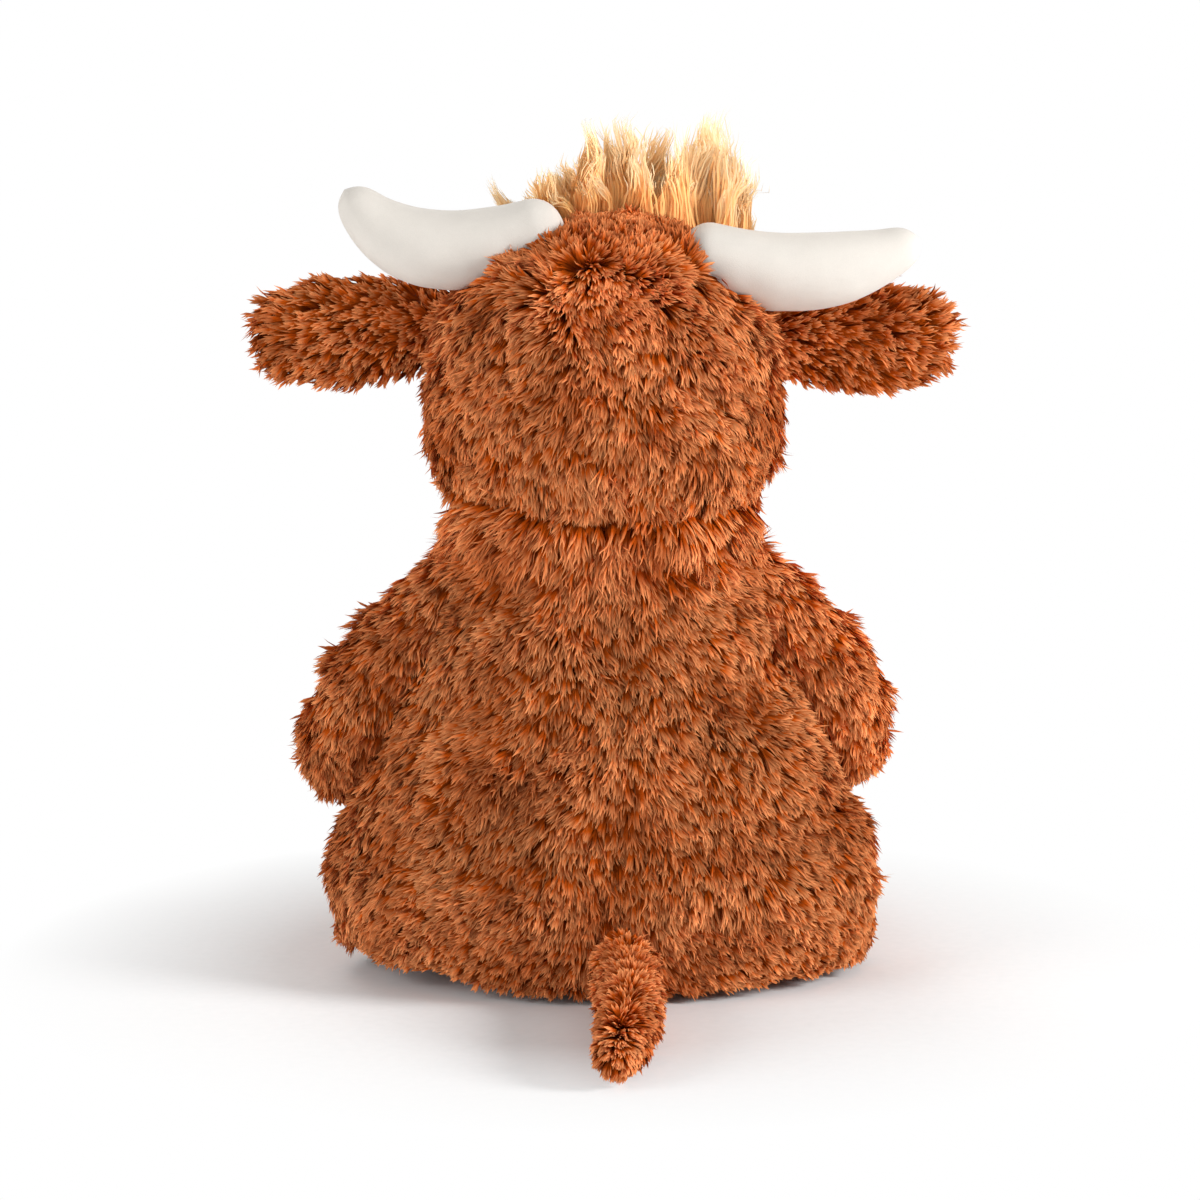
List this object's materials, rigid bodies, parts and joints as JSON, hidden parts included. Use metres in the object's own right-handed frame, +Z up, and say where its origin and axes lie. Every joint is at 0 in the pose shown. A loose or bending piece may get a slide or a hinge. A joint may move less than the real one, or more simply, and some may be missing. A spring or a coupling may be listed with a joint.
{
  "type": "plush cow",
  "caption": "Seated stuffed cow with shaggy rust fur, blond topknot, soft white horns, floppy ears, arms, legs and tail that move at their seams.",
  "frame": {"origin": "on the floor under the middle of the seat", "axes": "+Z up, the cow faces -Y, its left side is +X"},
  "size_m": [0.2648, 0.3474, 0.3042],
  "materials": {
    "rust_fur": "shaggy long-pile plush",
    "blond_fur": "long wispy pile",
    "white_velvet": "short-pile velvet",
    "tan_velvet": "short-pile velvet",
    "hoof_velvet": "short-pile velvet",
    "stuffing": "polyester fibre",
    "pouch_cloth": "woven pouch of plastic pellets",
    "dark_thread": "satin-stitched thread",
    "eye_plastic": "polished",
    "washer_plastic": "moulded"
  },
  "bodies": {
    "torso": {"body_cover": "rust_fur", "body_filling": "stuffing", "pellet_pouch": "pouch_cloth"},
    "head": {"head_cover": "rust_fur", "head_filling": "stuffing", "muzzle_cover": "tan_velvet", "muzzle_filling": "stuffing", "mouth_stitch": "dark_thread", "topknot": "blond_fur", "eye_left": "eye_plastic", "eye_washer_left": "washer_plastic", "nostril_left": "dark_thread", "horn_cover_left": "white_velvet", "horn_filling_left": "stuffing", "eye_right": "eye_plastic", "eye_washer_right": "washer_plastic", "nostril_right": "dark_thread", "horn_cover_right": "white_velvet", "horn_filling_right": "stuffing"},
    "tail": {"tail_cover": "rust_fur", "tail_filling": "stuffing"},
    "ear_left": {"ear_back_left": "rust_fur", "ear_lining_left": "tan_velvet"},
    "arm_left": {"arm_cover_left": "rust_fur", "arm_filling_left": "stuffing", "arm_hoof_left": "hoof_velvet"},
    "leg_left": {"leg_cover_left": "rust_fur", "leg_filling_left": "stuffing", "leg_hoof_left": "hoof_velvet"},
    "ear_right": {"ear_back_right": "rust_fur", "ear_lining_right": "tan_velvet"},
    "arm_right": {"arm_cover_right": "rust_fur", "arm_filling_right": "stuffing", "arm_hoof_right": "hoof_velvet"},
    "leg_right": {"leg_cover_right": "rust_fur", "leg_filling_right": "stuffing", "leg_hoof_right": "hoof_velvet"}
  },
  "joints": [
    {"name": "head_nod", "type": "hinge", "parent": "torso", "child": "head", "pos_m": [0, -0.002, 0.212], "axis": [1, 0, 0], "range_deg": [-10, 14], "stiffness_Nm_per_rad": 1.6},
    {"name": "ear_left_droop", "type": "hinge", "parent": "head", "child": "ear_left", "pos_m": [0.069, -0.018, 0.214], "axis": [0, 1, 0], "range_deg": [0, 35], "stiffness_Nm_per_rad": 0.04, "springref_deg": -17.19},
    {"name": "arm_left_lift", "type": "hinge", "parent": "torso", "child": "arm_left", "pos_m": [0.056, 0.006, 0.166], "axis": [0, -1, 0], "range_deg": [0, 45]},
    {"name": "leg_left_lift", "type": "hinge", "parent": "torso", "child": "leg_left", "pos_m": [0.05, -0.03, 0.07], "axis": [-1, 0, 0], "range_deg": [0, 22]},
    {"name": "ear_right_droop", "type": "hinge", "parent": "head", "child": "ear_right", "pos_m": [-0.069, -0.018, 0.21], "axis": [0, -1, 0], "range_deg": [0, 35], "stiffness_Nm_per_rad": 0.04, "springref_deg": -17.19},
    {"name": "arm_right_lift", "type": "hinge", "parent": "torso", "child": "arm_right", "pos_m": [-0.056, 0.006, 0.166], "axis": [0, 1, 0], "range_deg": [0, 45]},
    {"name": "leg_right_lift", "type": "hinge", "parent": "torso", "child": "leg_right", "pos_m": [-0.05, -0.03, 0.07], "axis": [-1, 0, 0], "range_deg": [0, 22]},
    {"name": "tail_lift", "type": "hinge", "parent": "torso", "child": "tail", "pos_m": [-0.008, 0.077, 0.038], "axis": [1, 0, 0], "range_deg": [0, 70]}
  ]
}
